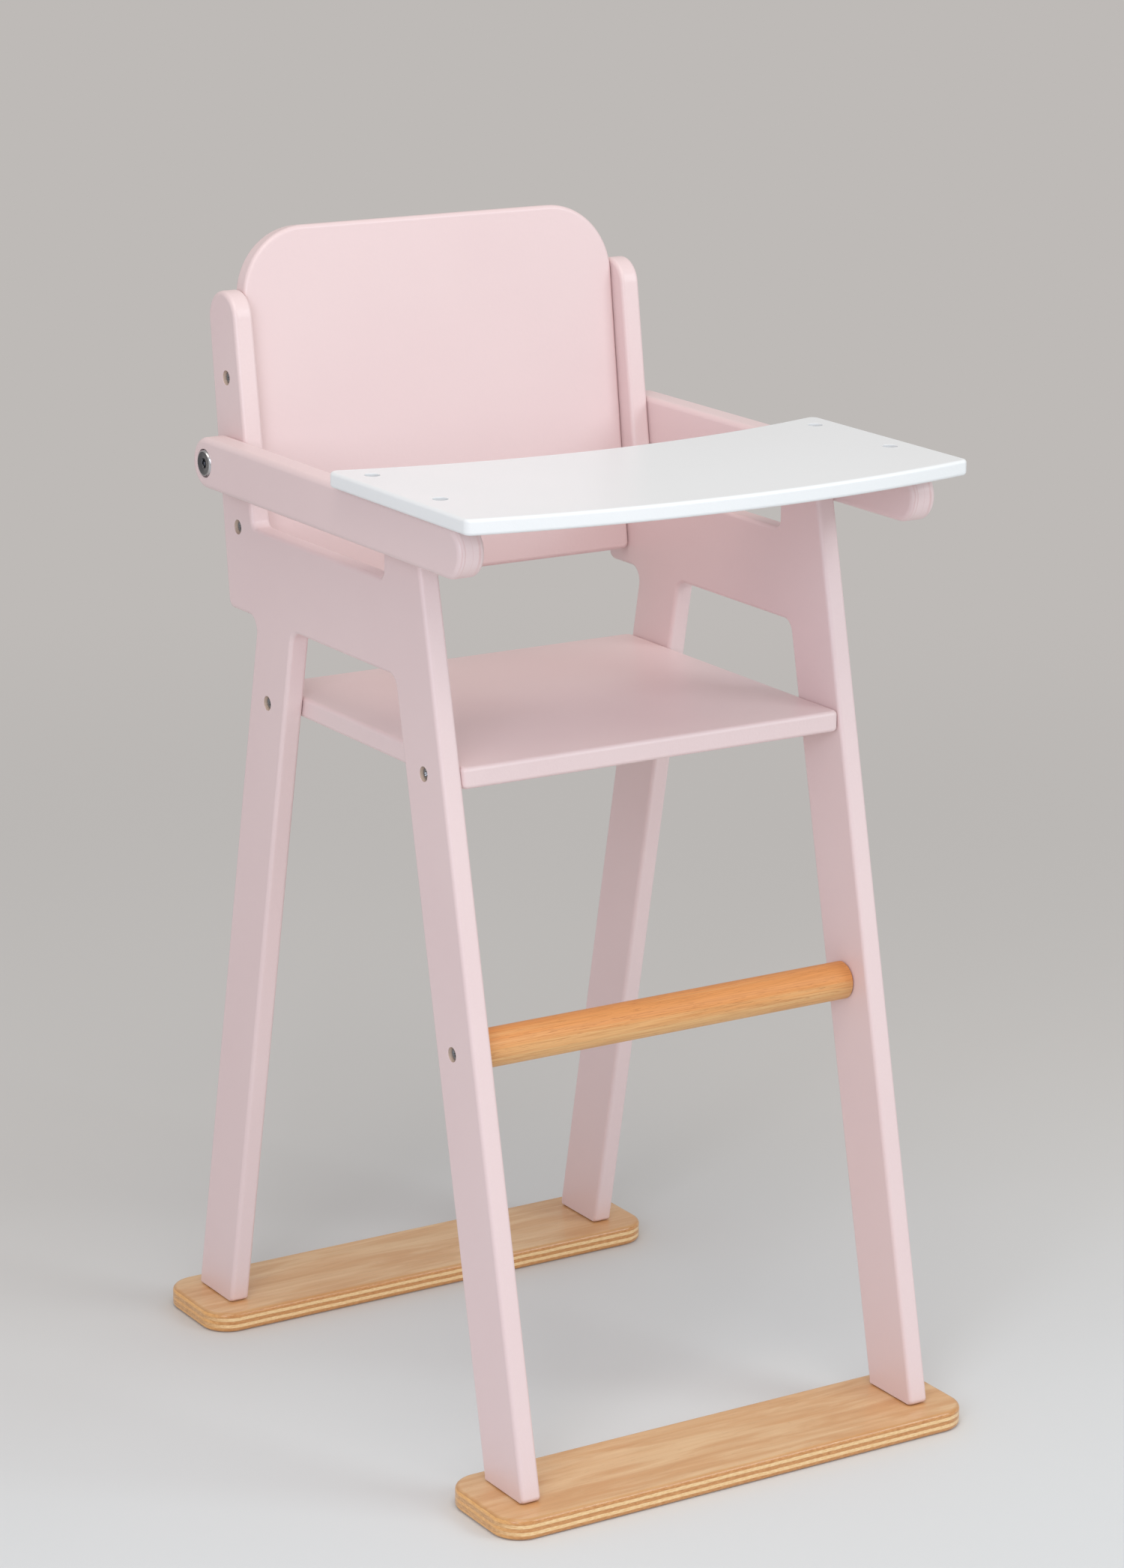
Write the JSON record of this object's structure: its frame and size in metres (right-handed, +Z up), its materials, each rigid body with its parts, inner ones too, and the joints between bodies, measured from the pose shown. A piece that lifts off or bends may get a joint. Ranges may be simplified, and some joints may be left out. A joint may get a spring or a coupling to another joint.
{
  "type": "doll high chair",
  "caption": "Painted wooden doll high chair with splayed legs on foot boards, a leaning backrest, a footrest bar and a tray that swings up and over the back.",
  "frame": {"origin": "on the floor, under the middle of the base", "axes": "+Z up; the chair faces -Y; +X is the right-hand side as seen from the front, which node names call right"},
  "size_m": [0.235, 0.3, 0.4867],
  "materials": {
    "pink_paint": "satin pink paint on fibreboard",
    "white_paint": "satin white paint on fibreboard",
    "varnished_plywood": "clear satin varnish",
    "varnished_dowel": "clear satin varnish",
    "bolt_steel": "polished, plated",
    "screw_steel": "bright, plated"
  },
  "bodies": {
    "chair": {"side_panel_left": "pink_paint", "side_panel_right": "pink_paint", "seat": "pink_paint", "backrest": "pink_paint", "footrest_bar": "varnished_dowel", "foot_board_front": "varnished_plywood", "foot_board_rear": "varnished_plywood", "pivot_bolt_left": "bolt_steel", "pivot_bolt_right": "bolt_steel", "pivot_insert_left": "bolt_steel", "pivot_insert_right": "bolt_steel", "backrest_screw_left_lower": "screw_steel", "backrest_screw_left_upper": "screw_steel", "backrest_screw_right_lower": "screw_steel", "backrest_screw_right_upper": "screw_steel", "seat_screw_left_front": "screw_steel", "seat_screw_left_rear": "screw_steel", "seat_screw_right_front": "screw_steel", "seat_screw_right_rear": "screw_steel", "footrest_screw_left": "screw_steel", "footrest_screw_right": "screw_steel", "foot_screw_front_left_fore": "screw_steel", "foot_screw_front_left_aft": "screw_steel", "foot_screw_front_right_fore": "screw_steel", "foot_screw_front_right_aft": "screw_steel", "foot_screw_rear_left_fore": "screw_steel", "foot_screw_rear_left_aft": "screw_steel", "foot_screw_rear_right_fore": "screw_steel", "foot_screw_rear_right_aft": "screw_steel"},
    "tray_and_arms": {"tray": "white_paint", "arm_left": "pink_paint", "arm_right": "pink_paint", "tray_screw_left_front": "screw_steel", "tray_screw_left_rear": "screw_steel", "tray_screw_right_front": "screw_steel", "tray_screw_right_rear": "screw_steel"}
  },
  "joints": [
    {"name": "tray_swing", "type": "hinge", "parent": "chair", "child": "tray_and_arms", "pos_m": [0, 0.10132, 0.39145], "axis": [-1, 0, 0], "range_deg": [0, 262.8]}
  ]
}
